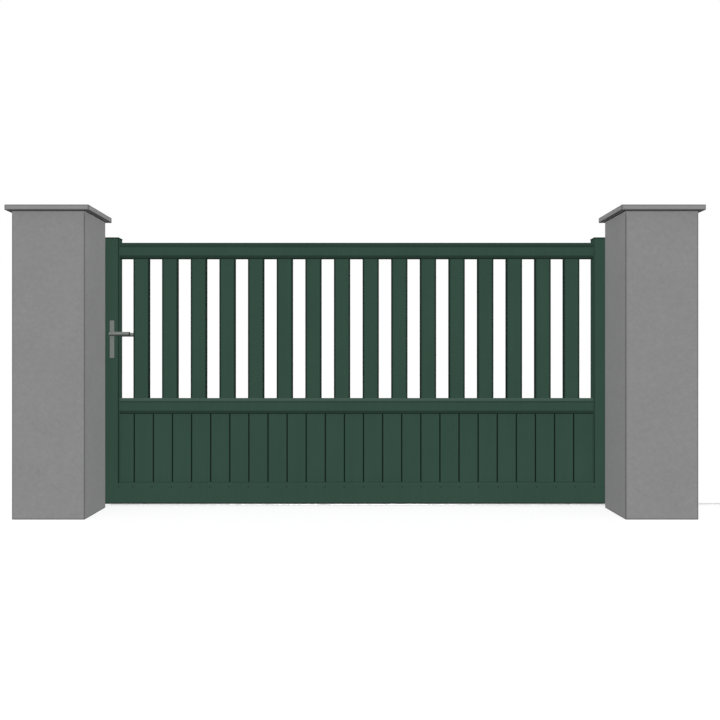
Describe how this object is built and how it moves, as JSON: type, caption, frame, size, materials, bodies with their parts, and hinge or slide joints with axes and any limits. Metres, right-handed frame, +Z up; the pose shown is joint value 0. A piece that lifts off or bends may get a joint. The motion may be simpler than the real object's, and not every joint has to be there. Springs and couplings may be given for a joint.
{
  "type": "sliding driveway gate with pillars",
  "caption": "Sliding driveway gate: dark green aluminium leaf with open slats above and boards below, rolling on a ground track behind rendered masonry pillars.",
  "frame": {"origin": "on the ground at the middle of the passage, on the centre line of the track's underside", "axes": "+X along the slide, towards the side the leaf opens to; +Y away from the street, from the pillars to the leaf; +Z up"},
  "size_m": [6.554, 0.6565, 1.744],
  "materials": {
    "leaf_green": "fine-textured satin powder coat, dark green",
    "pillar_render": "smooth cement render, mid grey, slightly mottled",
    "pillar_coping": "cast concrete coping, mid grey, fine grain",
    "handle_grey": "satin grey anodised",
    "galvanised_steel": "hot-dip galvanised, dull",
    "roller_nylon": "natural nylon, matt",
    "buffer_rubber": "black moulded rubber"
  },
  "bodies": {
    "pillars": {"left_pillar": "pillar_render", "right_pillar": "pillar_render", "left_pillar_cap": "pillar_coping", "right_pillar_cap": "pillar_coping", "ground_track": "galvanised_steel", "receiver_channel": "leaf_green", "closing_pads": "buffer_rubber", "guide_bracket": "galvanised_steel", "guide_rollers": "roller_nylon", "end_stop": "galvanised_steel", "end_stop_buffer": "buffer_rubber"},
    "leaf": {"left_stile": "leaf_green", "right_stile": "leaf_green", "left_stile_cap": "leaf_green", "right_stile_cap": "leaf_green", "bottom_rail": "leaf_green", "middle_rail": "leaf_green", "top_rail": "leaf_green", "left_rail_end_cap": "leaf_green", "right_rail_end_cap": "leaf_green", "slat_01": "leaf_green", "slat_02": "leaf_green", "slat_03": "leaf_green", "slat_04": "leaf_green", "slat_05": "leaf_green", "slat_06": "leaf_green", "slat_07": "leaf_green", "slat_08": "leaf_green", "slat_09": "leaf_green", "slat_10": "leaf_green", "slat_11": "leaf_green", "slat_12": "leaf_green", "slat_13": "leaf_green", "slat_14": "leaf_green", "slat_15": "leaf_green", "slat_16": "leaf_green", "infill_boards": "leaf_green", "guide_channel": "leaf_green", "guide_standoffs": "leaf_green", "wheels": "galvanised_steel", "left_wheel_carriage": "galvanised_steel", "right_wheel_carriage": "galvanised_steel", "front_lock_plate": "handle_grey", "rear_lock_plate": "handle_grey"},
    "lever": {"front_lever": "handle_grey", "rear_lever": "handle_grey", "lever_spindle": "galvanised_steel"}
  },
  "joints": [
    {"name": "leaf_slide", "type": "slide", "parent": "pillars", "child": "leaf", "axis": [1, 0, 0], "range_m": [0, 2.94]},
    {"name": "lever_turn", "type": "hinge", "parent": "leaf", "child": "lever", "pos_m": [-1.478, 0, 1.045], "axis": [0, 1, 0], "range_deg": [0, 45], "stiffness_Nm_per_rad": 1.2, "springref_deg": -28.65}
  ]
}
